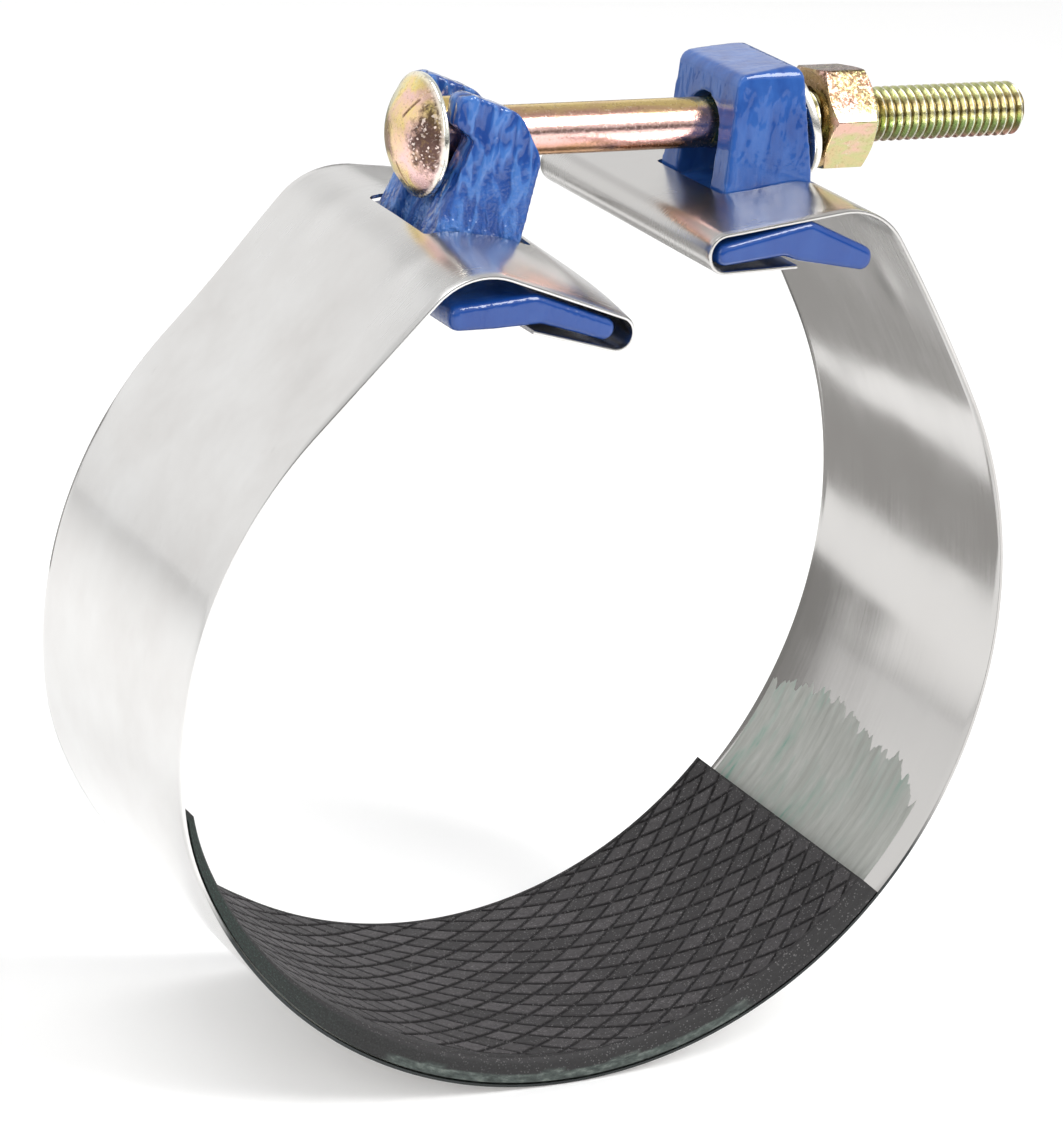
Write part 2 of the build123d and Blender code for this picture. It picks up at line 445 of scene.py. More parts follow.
def stainless():
    """Cold-rolled sheet: fine lines along the strip, handling marks and a slow waviness, with painted shade
    on the ring's right side, on its edges there and on the edges under the pad.
    """
    look = Look("stainless", by_place=True, Metallic=1.0, Roughness=0.2)
    along = look.axis(0)
    off_lowest = look.away(along)
    rim = look.spread(look.away(look.axis(1)), 39.75, 39.9)
    rolled = look.noise(0.6, detail=4, stretch=(0.012, 1, 1))
    cloud = look.noise(30, detail=4, roughness=0.6)
    marks = look.noise(2.2, detail=6, roughness=0.7, stretch=(0.5, 1, 1), offset=(9, 4, 0))
    tone = look.mixed(look.spread(cloud, 0.3, 0.7), (0.68, 0.665, 0.65), (0.77, 0.765, 0.755))
    tone = look.mixed(look.spread(marks, 0.62, 0.8, 0.0, 0.35), tone, (0.50, 0.48, 0.46))
    # painted shade: the strip's edges along the ring's right side are painted dark
    right_rim_painted_shade = look.product(rim, look.spread(along, 60.0, 90.0, 0.0, 0.85), look.spread(along, 232.0, 212.0))
    tone = look.mixed(right_rim_painted_shade, tone, (0.22, 0.215, 0.21))
    # painted shade: the strip from the ring's right side onwards is painted darker, standing in for its
    # darker reflections
    tone = look.mixed(look.spread(along, 62.0, 85.0, 0.0, 0.75), tone, (0.56, 0.545, 0.53))
    # painted shade: the strip's edges under the pad are painted almost black
    under_pad_painted_shade = look.product(rim, look.spread(off_lowest, 118.0, 100.0))
    tone = look.mixed(under_pad_painted_shade, tone, (0.05, 0.055, 0.055))
    handled = look.spread(off_lowest, 225.0, 245.0, 0.0, 0.13)
    rough = look.maths("ADD", look.spread(rolled, 0.3, 0.7, 0.09, 0.13), handled)
    rough = look.maths("ADD", rough, look.spread(cloud, 0.45, 0.75, 0.0, 0.06))
    slow = look.noise(38, detail=1, stretch=(0.55, 1, 1), offset=(3, 7, 0))
    return look.finished(tone, rough, look.bump(slow, 0.30, look.bump(rolled, 0.002)))


def enamel():
    """Dipped enamel over rough iron: deep gloss, with sagging runs on the uprights; their dark and light
    streaks are partly painted shade and painted reflection, and the bars' ends have painted shade.
    """
    look = Look(
        "blue_enamel",
        Metallic=0.0,
        Roughness=0.35,
        Specular_IOR_Level=0.1,
        Coat_Weight=1.0,
        Coat_Roughness=0.03,
        Coat_IOR=1.5,
    )
    off_middle = look.away(look.axis(1))
    upright = look.spread(off_middle, 26.0, 15.5, 0.12, 1.0)
    upright = look.product(upright, look.spread(look.axis(0), 0.0, 20.0, 1.0, 0.08))
    runs = look.noise(2.4, detail=1, roughness=0.4, stretch=(1, 1, 0.36), warp=0.7)
    thick = look.noise(6, detail=3, stretch=(1, 1, 0.5), warp=0.5)
    blue = look.ramp(
        thick,
        (0.30, 0.012, 0.056, 0.25),
        (0.50, 0.020, 0.086, 0.33),
        (0.72, 0.036, 0.125, 0.41),
    )
    # the runs' dark and light streaks: partly the enamel's own thickness, partly painted shade and painted
    # reflection
    pooled_and_painted_shade = look.product(look.spread(runs, 0.40, 0.50, 0.55, 0.0), upright)
    blue = look.mixed(pooled_and_painted_shade, blue, (0.006, 0.032, 0.190))
    thin = look.product(look.spread(runs, 0.52, 0.60, 0.0, 0.8), upright)
    blue = look.mixed(thin, blue, (0.060, 0.170, 0.47))
    # painted shade: the bars' ends are painted darker
    bar_end_painted_shade = look.spread(off_middle, 30.0, 38.0, 0.0, 0.8)
    blue = look.mixed(bar_end_painted_shade, blue, (0.006, 0.044, 0.23))
    near_base = look.spread(look.axis(2), 108.0, 92.0, 0.0, 2.0)
    grit = look.product(look.noise(1.3, detail=2, roughness=0.5, offset=(5, 2, 1)), near_base, upright)
    normal = look.bump(grit, 0.35, look.bump(look.product(runs, upright), 1.1))
    look.tree.links.new(normal, look.shader.inputs["Coat Normal"])
    return look.finished(blue, None, normal)


def zinc_finish(look, colour):
    """A plated colour with fine dark and pale speckles, uneven gloss and a soft relief."""
    dots = look.speckle(0.45)
    colour = look.mixed(look.spread(dots, 0.84, 0.97, 0.0, 0.35), colour, (0.34, 0.22, 0.10))
    pale = look.noise(0.8, detail=3, roughness=0.7, offset=(2, 8, 3))
    colour = look.mixed(look.spread(pale, 0.62, 0.75, 0.0, 0.5), colour, (0.95, 0.91, 0.82))
    coarse = look.bump(look.noise(1.6, detail=3, offset=(6, 1, 4)), 0.05)
    return look.finished(colour, look.spread(pale, 0.35, 0.75, 0.16, 0.32), look.bump(pale, 0.025, coarse))


def shank_and_thread(look, along, across, up):
    """Chromate tints on the shank and thread, laid in bands by height round the axis that are painted
    reflections and shade, pink on the shank and green and gold in the thread; painted shade in the thread's
    roots and a painted highlight on its crests.
    """
    drift = look.noise(6, detail=3, stretch=(0.35, 1, 1), warp=0.3)
    # painted reflections and shade: the colour goes by height round the bolt's axis, in bands that stand in
    # for reflected light and shade
    level = look.maths("ADD", look.axis(2), look.spread(drift, 0.3, 0.7, -1.3, 1.3))
    level = look.spread(level, BOLT_Z - THREAD_R, BOLT_Z + THREAD_R)
    shank = look.ramp(
        level,
        (0.05, 0.40, 0.20, 0.06),
        (0.20, 0.56, 0.29, 0.14),
        (0.36, 0.88, 0.50, 0.46),
        (0.60, 0.90, 0.60, 0.55),
        (0.84, 0.62, 0.36, 0.28),
        (0.96, 0.80, 0.60, 0.24),
    )
    thread = look.ramp(
        level,
        (0.05, 0.55, 0.26, 0.22),
        (0.20, 0.22, 0.24, 0.10),
        (0.36, 0.42, 0.62, 0.20),
        (0.55, 0.88, 0.82, 0.38),
        (0.75, 0.34, 0.27, 0.13),
        (0.95, 0.52, 0.54, 0.24),
    )
    off_axis = look.maths("POWER", look.maths("ADD", look.squared(up), look.squared(across)), 0.5)
    # painted shade in the thread's roots
    painted_root_shade = look.spread(off_axis, THREAD_ROOT + 0.5, THREAD_ROOT + 0.05)
    thread = look.mixed(painted_root_shade, thread, (0.20, 0.15, 0.05))
    # painted highlight along the thread's crests
    painted_crest_highlight = look.spread(off_axis, THREAD_R - 0.20, THREAD_R - 0.08, 0.0, 0.65)
    thread = look.mixed(painted_crest_highlight, thread, (0.97, 0.95, 0.84))
    return look.mixed(look.spread(along, THREAD_START - 1, THREAD_START + 1), shank, thread)


def bolt_zinc():
    """Yellow chromate over the whole bolt: pink shank, green-gold thread, mottled head; with painted
    reflections, shade and highlights on the shank and thread, a painted dark reflection with painted glints
    on the head and painted shade in its dashes.
    """
    look = Look("bolt_zinc", Metallic=1.0, Roughness=0.22)
    along, across = look.axis(0), look.axis(1)
    up = look.maths("ADD", look.axis(2), -BOLT_Z)
    colour = shank_and_thread(look, along, across, up)
    film = look.noise(7, detail=3, roughness=0.55, warp=0.5, offset=(3, 3, 9))
    head = look.ramp(
        look.maths("ADD", film, look.spread(across, 9.0, -9.0, -0.25, 0.25)),
        (0.30, 0.74, 0.70, 0.46),
        (0.45, 0.93, 0.74, 0.28),
        (0.62, 0.92, 0.62, 0.46),
        (0.80, 0.90, 0.60, 0.58),
    )
    colour = look.mixed(look.spread(along, HEAD_FACE + 0.4, HEAD_FACE - 1.4), colour, head)
    rim = look.product(look.spread(along, -34.6, -33.4), look.spread(along, -32.0, -32.4))
    colour = look.mixed(rim, colour, (0.88, 0.88, 0.80))
    on_head = look.spread(along, -33.8, -34.2)
    # a painted dark reflection on the near side of the head, with painted glints in it
    blot = look.noise(2.0, detail=5, roughness=0.75, offset=(7, 7, 1))
    far = look.maths("ADD", look.squared(across, -9.8, 3.9), look.squared(look.axis(2), BOLT_Z + 1.5, 8.5))
    far = look.maths("ADD", far, look.spread(blot, 0.3, 0.7, -0.7, 0.7))
    painted_glints = look.spread(look.speckle(0.5, offset=(1, 2, 2)), 0.86, 0.92)
    painted_reflection_colour = look.mixed(painted_glints, (0.07, 0.035, 0.03), (0.85, 0.72, 0.66))
    painted_reflection_patch = look.product(look.spread(far, 1.25, 0.35), on_head, 0.92)
    colour = look.mixed(painted_reflection_patch, colour, painted_reflection_colour)
    inner, outer = DASH_SPAN
    # painted shade in the grooves of the head's dashes
    for turn in DASH_TURNS:
        cos, sin = direction(math.radians(turn))
        aside = look.maths("ADD", look.product(across, -sin), look.product(up, cos))
        outward = look.maths("ADD", look.product(across, cos), look.product(up, sin))
        painted_groove_shade = look.product(
            look.spread(look.away(aside), 0.40, 0.22, 0.0, 0.85),
            look.spread(outward, inner - 0.3, inner + 0.3),
            look.spread(outward, outer + 0.3, outer - 0.3),
            on_head,
        )
        colour = look.mixed(painted_groove_shade, colour, (0.14, 0.07, 0.05))
    return zinc_finish(look, colour)


def nut_zinc():
    """Yellow chromate with green and pink tints, speckled bright, and dark flakes on the upper flats that are
    partly speckle and partly painted shade.
    """
    look = Look("nut_zinc", Metallic=1.0, Roughness=0.25)
    film = look.noise(8, detail=3, roughness=0.55, stretch=(0.6, 1, 1), warp=0.4)
    colour = look.ramp(
        film,
        (0.30, 0.48, 0.30, 0.20),
        (0.42, 0.60, 0.46, 0.26),
        (0.50, 0.50, 0.49, 0.24),
        (0.58, 0.66, 0.44, 0.34),
        (0.70, 0.70, 0.42, 0.36),
    )
    flakes = look.spread(look.noise(0.9, detail=4, roughness=0.8, offset=(4, 4, 4)), 0.45, 0.51, 0.0, 0.92)
    # dark flakes on the upper flats: partly speckle, partly painted shade against the light from above
    upper_painted_shade = look.spread(look.axis(2), BOLT_Z + 3.0, BOLT_Z + 4.5)
    colour = look.mixed(look.product(flakes, upper_painted_shade), colour, (0.12, 0.06, 0.035))
    bearing = look.spread(look.axis(0), NUT_START + 0.6, NUT_START + 0.1, 0.0, 0.8)
    colour = look.mixed(bearing, colour, (0.36, 0.24, 0.11))
    return zinc_finish(look, colour)


def washer_plate():
    """Bright plating with a faint yellow tint and tool marks."""
    look = Look("washer_plate", Metallic=1.0, Roughness=0.25)
    cloud = look.noise(4, detail=4)
    colour = look.ramp(cloud, (0.3, 0.80, 0.76, 0.66), (0.6, 0.86, 0.85, 0.82))
    marks = look.bump(look.noise(0.6, detail=3), 0.02)
    return look.finished(colour, look.spread(cloud, 0.3, 0.7, 0.18, 0.32), marks)


def rubber():
    """Matt moulded rubber with dust; the glued lower part of its sides is grey-green."""
    look = Look("rubber", by_place=True, Roughness=0.62, Specular_IOR_Level=0.45)
    dust = look.noise(1.3, detail=6, roughness=0.78)
    cloud = look.noise(22, detail=3, offset=(1, 5, 0))
    base = look.ramp(dust, (0.30, 0.011, 0.010, 0.011), (0.62, 0.027, 0.025, 0.026))
    base = look.mixed(look.spread(cloud, 0.35, 0.7, 0.0, 0.5), base, (0.022, 0.020, 0.021))
    face = look.mixed(look.spread(dust, 0.36, 0.66), (0.034, 0.030, 0.032), (0.112, 0.104, 0.108))
    base = look.mixed(look.attribute("tile_tone"), base, face)
    specks = look.spread(look.speckle(0.3), 0.93, 0.97)
    base = look.mixed(look.product(specks, 0.35), base, (0.30, 0.29, 0.29))
    grains = look.noise(0.55, detail=4, roughness=0.75, offset=(2, 6, 0))
    teal = look.ramp(
        grains,
        (0.46, 0.010, 0.011, 0.010),
        (0.60, 0.022, 0.048, 0.038),
        (0.72, 0.14, 0.20, 0.17),
    )
    plain = look.ramp(
        grains,
        (0.48, 0.010, 0.010, 0.010),
        (0.66, 0.028, 0.030, 0.029),
        (0.76, 0.16, 0.16, 0.155),
    )
    side = look.mixed(look.spread(look.axis(0), -110.0, -55.0), teal, plain)
    base = look.mixed(look.attribute("side"), base, side)
    glue = look.noise(1.4, detail=5, roughness=0.7, stretch=(0.4, 1, 1), offset=(8, 3, 0))
    green = look.ramp(
        glue,
        (0.34, 0.020, 0.026, 0.024),
        (0.52, 0.060, 0.075, 0.068),
        (0.70, 0.16, 0.185, 0.165),
    )
    base = look.mixed(look.attribute("glued"), base, green)
    grain = look.bump(look.noise(0.5, detail=3, offset=(4, 4, 0)), 0.05, look.bump(dust, 0.12))
    return look.finished(base, look.spread(dust, 0.3, 0.7, 0.50, 0.75), grain)


def dried_adhesive():
    """Contact adhesive brushed along the strip: grey-green with teal streaks."""
    look = Look("adhesive", by_place=True, Metallic=0.35, Roughness=0.42)
    strokes = look.noise(2.2, detail=5, roughness=0.7, stretch=(0.12, 1, 1))
    patches = look.noise(9, detail=4, roughness=0.6, stretch=(0.35, 1, 1), offset=(4, 6, 0))
    grey = look.ramp(strokes, (0.35, 0.36, 0.37, 0.34), (0.65, 0.50, 0.51, 0.48))
    near = look.spread(look.axis(1), -30, 30)
    teal = look.product(
        look.spread(patches, 0.48, 0.68),
        look.spread(near, 0.1, 0.7, 0.45, 1.0),
        look.spread(strokes, 0.42, 0.62),
    )
    colour = look.mixed(teal, grey, (0.10, 0.30, 0.22))
    return look.finished(colour, look.spread(strokes, 0.3, 0.7, 0.34, 0.55), look.bump(strokes, 0.06))


def floor_paper():
    """White seamless paper with a faint tooth."""
    look = Look("floor_paper", Roughness=0.85, Emission_Color=(1.0, 1.0, 1.0, 1.0), Emission_Strength=0.08)
    tooth = look.noise(1.2, detail=4)
    white = look.mixed(look.spread(tooth, 0.3, 0.7), (0.945, 0.945, 0.94), (0.965, 0.965, 0.965))
    return look.finished(white, None, look.bump(tooth, 0.02))


# ---------- band ----------
def dents(s, y):
    """Creases where the sheet was pressed round the lugs, in millimetres inwards."""
    marks = [
        # place along, place across, half length, half width, depth
        (-262.0, -22.0, 9.0, 4.0, 0.30),
        (-256.0, 20.0, 9.0, 4.5, 0.30),
        (-233.0, -24.0, 8.0, 6.0, 0.45),
        (-233.0, 24.0, 8.0, 6.0, 0.45),
        (-286.0, 12.0, 2.6, 16.0, -0.30),
        (-292.0, -6.0, 2.4, 14.0, 0.35),
        (-298.0, -18.0, 2.2, 13.0, -0.25),
        (286.0, -8.0, 2.4, 11.0, 0.22),
        (293.0, -20.0, 2.4, 12.0, -0.18),
        (243.0, -22.0, 7.0, 4.0, 0.25),
        (243.0, 21.0, 7.0, 4.0, 0.25),
    ]
    depth = np.zeros_like(s)
    for s0, y0, long, wide, deep in marks:
        depth += deep * np.exp(-(((s - s0) / long) ** 2) - ((y - y0) / wide) ** 2)
    return depth


def lifted(s, y):
    """How far the fork's fold is sprung open upwards, away from its near edge, in millimetres."""
    sprung = 7.0 * np.exp(-(((s + 294.0) / 18.0) ** 2)) + 2.6 * np.exp(-(((s + 260.0) / 20.0) ** 2))
    closing = np.clip((s + 320.0) / 12.0, 0.0, 1.0)
    return sprung * closing**2 * (3 - 2 * closing) * (1 - np.exp(-(y + BAND_WIDTH / 2) / 18.0))


def window_cutter(low_x, high_x, half_y, low_z, high_z):
    """A rounded upright block that cuts a window in the strip."""
    corners = [(high_x, half_y), (low_x, half_y), (low_x, -half_y), (high_x, -half_y)]
    outline = rounded([(x, y, WINDOW_CORNER) for x, y in corners], steps=6)
    return new_object("cutter", *loft([[(x, y, z) for x, y in outline] for z in (low_z, high_z)]))


def make_band(material):
    """The strip from end to end, with its edges rounded over and its windows cut."""
    places = stations(-strip_end(-1), strip_end(1))
    half = BAND_WIDTH / 2
    flat = np.linspace(-half + 0.3, half - 0.3, 41)
    edge = [(0.05, 0.08), (0.0, 0.25), (0.0, BAND_THICK - 0.25), (0.05, BAND_THICK - 0.08)]
    section = [(y, 0.0) for y in flat]
    section += [(half - back, inset) for back, inset in edge]
    section += [(y, BAND_THICK) for y in flat[::-1]]
    section += [(back - half, inset) for back, inset in reversed(edge)]
    across, inset = np.array(section).T
    s, y = np.meshgrid(places, across, indexing="ij")
    deep = np.broadcast_to(inset, s.shape) + dents(s, y)
    sheet = on_strip(s, y, deep)
    sheet[..., 2] += lifted(s, y)
    points, faces = loft(sheet)
    uvs = np.stack([s, y], -1).reshape(-1, 2)
    band = new_object("band_strip", points, faces, uvs)
    carve(band, [("DIFFERENCE", window_cutter(*window)) for window in WINDOWS])
    tidy_normals(band, 35)
    finish_piece(band, material, "band")


# ---------- gasket pad ----------
TREAD_PITCH_S = 12.1
TREAD_PITCH_Y = 6.25
TREAD_DEPTH = 0.6
TREAD_FAR_EDGE = 37.6
FAR_BORDER = 38.0
TREAD_END_GAP = 0.4
GROOVE = 0.75
GROOVE_TONE = 0.15
# a clipped tile that reaches less far than this from its middle is left out
SMALLEST_TILE = 0.8
# the tiles are cut up along the strip at this step, so that they follow its curve
BEND_STEP = 3.0


def near_border(s):
    """Place across of the tread's near edge: the plain border is wider towards the left."""
    return np.interp(s, [-PAD_LEFT_S, -45.0, 10.0], [-32.0, -34.0, -38.2])


def clipped(polygon, side):
    """The part of a convex polygon where side(point) is positive."""
    kept = []
    for a, b in zip(polygon, polygon[1:] + polygon[:1]):
        da, db = side(a), side(b)
        if da > 0:
            kept.append(a)
        if (da > 0) != (db > 0):
            t = da / (da - db)
            kept.append((a[0] + t * (b[0] - a[0]), a[1] + t * (b[1] - a[1])))
    return kept


def add_tile(bm, tone, middle, arms, levels):
    """One tile of the tread: closed rings, each with its own scale, inset and tone."""
    rings = []
    for scale, inset, value in levels:
        ring = [bm.verts.new((*(middle + arm * scale), inset)) for arm in arms]
        for vert in ring:
            vert[tone] = value
        rings.append(ring)
    for low, high in zip(rings, rings[1:]):
        for k in range(len(arms)):
            n = (k + 1) % len(arms)
            bm.faces.new((low[k], low[n], high[n], high[k]))
    bm.faces.new(rings[-1])
    bm.faces.new(tuple(reversed(rings[0])))


def tread_tiles():
    """Points in (s, y, inset) and faces of the tread's diamonds, with a tone for each point."""
    rng = np.random.default_rng(7)
    limits = [
        lambda p: p[0] + PAD_LEFT_S - TREAD_END_GAP,
        lambda p: PAD_RIGHT_S - TREAD_END_GAP - p[0],
        lambda p: p[1] - near_border(p[0]),
        lambda p: TREAD_FAR_EDGE - p[1],
    ]
    bm = bmesh.new()
    tone = bm.verts.layers.float.new("tile_tone")
    half_s, half_y = TREAD_PITCH_S / 2, TREAD_PITCH_Y / 2
    shrink = 1 - GROOVE / (2 * half_s * half_y / math.hypot(half_s, half_y))
    w, h = half_s * shrink, half_y * shrink
    rows = int(BAND_WIDTH / half_y)
    columns = int((PAD_LEFT_S + PAD_RIGHT_S) / TREAD_PITCH_S) + 2
    for row in range(rows + 1):
        for column in range(columns):
            cy = -half_y * rows / 2 + half_y * row
            cs = -PAD_LEFT_S + TREAD_PITCH_S * (column + 0.5 * (row % 2))
            diamond = [(cs - w, cy), (cs, cy - h), (cs + w, cy), (cs, cy + h)]
            for side in limits:
                diamond = clipped(diamond, side) if diamond else diamond
            if len(diamond) < 3:
                continue
            middle = np.mean(diamond, axis=0)
            arms = np.array(diamond) - middle
            reach = max(math.hypot(*arm) for arm in arms)
            if reach < SMALLEST_TILE:
                continue
            shade = float(rng.uniform(0.15, 1.0)) * np.interp(cs, [-20, PAD_RIGHT_S], [1.0, 0.55])
            top = PAD_IN - float(rng.uniform(0.0, 0.05))
            levels = [
                (1.0, PAD_IN - TREAD_DEPTH - 0.2, GROOVE_TONE),
                (0.95, top - 0.2, GROOVE_TONE),
                (0.95 - 0.5 / reach, top, shade),
            ]
            add_tile(bm, tone, middle, arms, levels)
    cut_at = -PAD_LEFT_S + BEND_STEP
    while cut_at < PAD_RIGHT_S:
        everything = bm.verts[:] + bm.edges[:] + bm.faces[:]
        bmesh.ops.bisect_plane(bm, geom=everything, plane_co=(cut_at, 0, 0), plane_no=(1, 0, 0))
        cut_at += BEND_STEP
    bm.verts.index_update()
    points = np.array([v.co for v in bm.verts])
    tones = np.array([v[tone] for v in bm.verts])
    faces = [tuple(v.index for v in f.verts) for f in bm.faces]
    bm.free()
    return points, faces, tones


def pad_body():
    """Points in (s, y, inset) and faces of the pad under its tread, with two shares for each point."""
    half = BAND_WIDTH / 2
    floor = PAD_IN - TREAD_DEPTH
    loops = []
    for s in stations(-PAD_LEFT_S, PAD_RIGHT_S, step=2.0):
        edge = min(near_border(s), -half + PAD_BEVEL + 1.95) if s > 0 else near_border(s)
        worn = 0.12 * math.sin(s * 0.31) * math.sin(s * 0.083 + 1)
        section = [
            (-half, PAD_OUT),
            (-half, 2.0),
            (-half, 2.9 + worn),
            (-half + 0.2, 3.25 + worn),
            (-half + 0.3, 4.2),
            (-half + 0.45, PAD_IN - PAD_BEVEL),
            (-half + 0.9, PAD_IN - 0.6),
            (-half + PAD_BEVEL + 0.2, PAD_IN - 0.1),
            (-half + PAD_BEVEL + 0.7, PAD_IN),
            (edge - 0.5, PAD_IN),
            (edge - 0.25, PAD_IN - 0.12),
            (edge - 0.1, floor),
            (FAR_BORDER, floor),
            (FAR_BORDER + 0.2, PAD_IN - 0.1),
            (half - PAD_BEVEL, PAD_IN),
            (half - 0.7, PAD_IN - 0.55),
            (half, PAD_IN - PAD_BEVEL),
            (half, 3.6),
            (half, PAD_OUT),
        ]
        loops.append([(s, y, inset) for y, inset in section])
    points, faces = loft(loops)
    side = (abs(points[:, 1]) > half - 0.5) * np.interp(points[:, 0], [-60.0, -20.0, 20.0], [1.0, 0.5, 0.25])
    low = (abs(points[:, 1]) > half - 0.3) & (points[:, 2] < 3.2)
    glued = low * np.interp(points[:, 0], [-49.0, -46.0, 46.0, 50.0], [0.0, 1.0, 1.0, 0.0])
    return points, faces, glued, side


def make_pad(material):
    """The pad's body and tread as one mesh, laid along the strip and thinned to its left end."""
    body_points, body_faces, glued, side = pad_body()
    tile_points, tile_faces, tones = tread_tiles()
    flat = np.vstack([body_points, tile_points])
    places = flat[:, :2] + np.stack([0 * flat[:, 2], flat[:, 2] - PAD_IN], -1)
    flat[:, 2] = PAD_OUT + (flat[:, 2] - PAD_OUT) * pad_share(flat[:, 0])
    faces = body_faces + [tuple(i + len(body_points) for i in f) for f in tile_faces]
    points = on_strip(flat[:, 0], flat[:, 1], flat[:, 2])
    pad = new_object("tread_pad", points, faces, places)
    for name, values in (
        ("glued", np.concatenate([glued, np.zeros(len(tones))])),
        ("side", np.concatenate([side, np.zeros(len(tones))])),
        ("tile_tone", np.concatenate([np.zeros(len(glued)), tones])),
    ):
        layer = pad.data.attributes.new(name, "FLOAT", "POINT")
        layer.data.foreach_set("value", values.astype(np.float32))
    tidy_normals(pad, 32)
    finish_piece(pad, material, "gasket_pad")


# ---------- adhesive ----------
GLUE_HALF = 38.0
SMEAR_NEAR = -33.2
SMEAR_THICK = 0.16
# how far along the strip the smear goes, at places across it
SMEAR_ACROSS = [-33, -27, -20, -12, -4, 5, 10, 18, 27, 38]
SMEAR_ALONG = [110, 113.5, 117, 116, 117.5, 119.5, 120, 120, 118, 115]


def smear_reach(y):
    """How far along the strip the smear goes at each place across, with a ragged edge."""
    reach = np.interp(y, SMEAR_ACROSS, SMEAR_ALONG)
    for k, (period, size) in enumerate(((7.3, 0.9), (3.7, 0.7), (2.3, 0.45), (1.3, 0.25))):
        reach = reach + size * np.sin(2 * math.pi * y / period + 1.7 * k)
    return reach


def make_adhesive(material):
    """The glue under the pad, and a thin smear that goes on from it up the strip."""
    loops = []
    for s in stations(-PAD_LEFT_S, PAD_RIGHT_S, step=3.0):
        near, far = (s, -GLUE_HALF), (s, GLUE_HALF)
        loops.append([(*near, BAND_THICK), (*far, BAND_THICK), (*far, PAD_OUT), (*near, PAD_OUT)])
    flat, faces = loft(loops)
    start = PAD_RIGHT_S - 0.5
    y, t = np.meshgrid(np.linspace(SMEAR_NEAR, GLUE_HALF, 285), np.linspace(0, 1, 40), indexing="ij")
    s = start + (smear_reach(y) - start) * t
    edges = np.clip((y - SMEAR_NEAR) / 0.8, 0, 1) * np.clip((GLUE_HALF - y) / 0.8, 0, 1)
    thick = SMEAR_THICK * np.sqrt(np.clip((1 - t) / 0.06, 0, 1)) * edges
    thick = thick * (0.75 + 0.25 * np.sin(y * 1.9 + 0.4 * np.sin(s * 0.2)))
    top = np.stack([s, y, BAND_THICK + 0.01 + thick], -1)
    bottom = np.stack([s, y, np.full_like(s, BAND_THICK)], -1)
    grid, quads = grid_quads(*y.shape)
    rim = np.concatenate([grid[:, 0], grid[-1, 1:], grid[-2::-1, -1], grid[0, -2:0:-1]])
    after = np.roll(rim, -1)
    sides = np.stack([rim, rim + y.size, after + y.size, after], -1)
    # the smear's top, its underside turned over, and its edges
    sheet = np.vstack([quads, quads[:, [0, 3, 2, 1]] + y.size, sides]) + len(flat)
    faces += [tuple(f) for f in sheet.tolist()]
    flat = np.vstack([flat, top.reshape(-1, 3), bottom.reshape(-1, 3)])
    points = on_strip(flat[:, 0], flat[:, 1], flat[:, 2])
    glue = new_object("adhesive_layer", points, faces, flat[:, :2])
    tidy_normals(glue, 40)
    finish_piece(glue, material, "adhesive")


# ---------- lugs ----------
BAR_HALF = 39.5
BAR_END_ROUND = 1.3
FORK_BAR = [
    (-42.4, 76.4, 2.3),
    (-42.4, 81.8, 2.3),
    (-22.3, 83.6, 2.0),
    (-3.0, 76.6, 2.4),
    (-3.4, 71.7, 2.3),
    (-20.7, 76.9, 2.0),
    (-31.0, 76.4, 2.0),
]
EAR = [
    (-37.6, 80.0, 0),
    (-35.6, 89.0, 0),
    (-26.6, 110.0, 0.8),
    (-27.8, 111.4, 0.8),
    (-30.9, 113.4, 1.3),
    (-30.1, 119.5, 1.4),
    (-27.0, 119.9, 1.2),
    (-15.6, 115.6, 7.0),
    (-10.0, 105.6, 5.0),
    (-14.0, 87.4, 0),
    (-14.6, 78.0, 0),
]
FORK_DRAFT = [(-14.0, 76), (-14.0, 90), (-12.8, 122), (12.8, 122), (14.0, 90), (14.0, 76)]
FORK_SLOT = (6.8, 105.8)
FORK_RECESS = [(-46, 85.5), (-33.4, 85.5), (-26.4, 103), (-46, 103)]
BLOCK_BAR = [
    (20.2, 86.7, 2.3),
    (20.2, 91.5, 2.2),
    (42.9, 96.1, 1.5),
    (59.0, 88.9, 2.4),
    (58.6, 83.9, 2.3),
    (40.4, 87.2, 1.2),
    (36.9, 88.5, 1.2),
]
UPRIGHT = [
    (34.0, 89, 0),
    (34.9, 98, 0),
    (36.6, 121.8, 2.8),
    (52.7, 123.8, 2.8),
    (56.6, 99, 0),
    (57.0, 88, 0),
]
BLOCK_DRAFT = [
    (-14.8, 86, 0),
    (-14.8, 96, 0),
    (-13.4, 123.4, 2.8),
    (13.4, 123.4, 2.8),
    (14.8, 96, 0),
    (14.8, 86, 0),
]
BLOCK_TUNNEL = (7.6, 107.8)


def drawn_in(outline, depth):
    """A closed outline moved a little way inwards all round."""
    points = np.array(outline, float)
    after = np.roll(points, -1, axis=0)
    back = points - np.roll(points, 1, axis=0)
    ahead = after - points
    area = float(np.sum(points[:, 0] * after[:, 1] - points[:, 1] * after[:, 0]))
    along = back / np.linalg.norm(back, axis=1)[:, None] + ahead / np.linalg.norm(ahead, axis=1)[:, None]
    along /= np.linalg.norm(along, axis=1)[:, None]
    inward = np.stack([-along[:, 1], along[:, 0]], -1) * math.copysign(1.0, area)
    return points + inward * depth


def prism(loops):
    """A closed solid through loops, with its faces turned outwards."""
    solid = new_object("prism", *loft(loops))
    tidy_normals(solid, 30)
    return solid


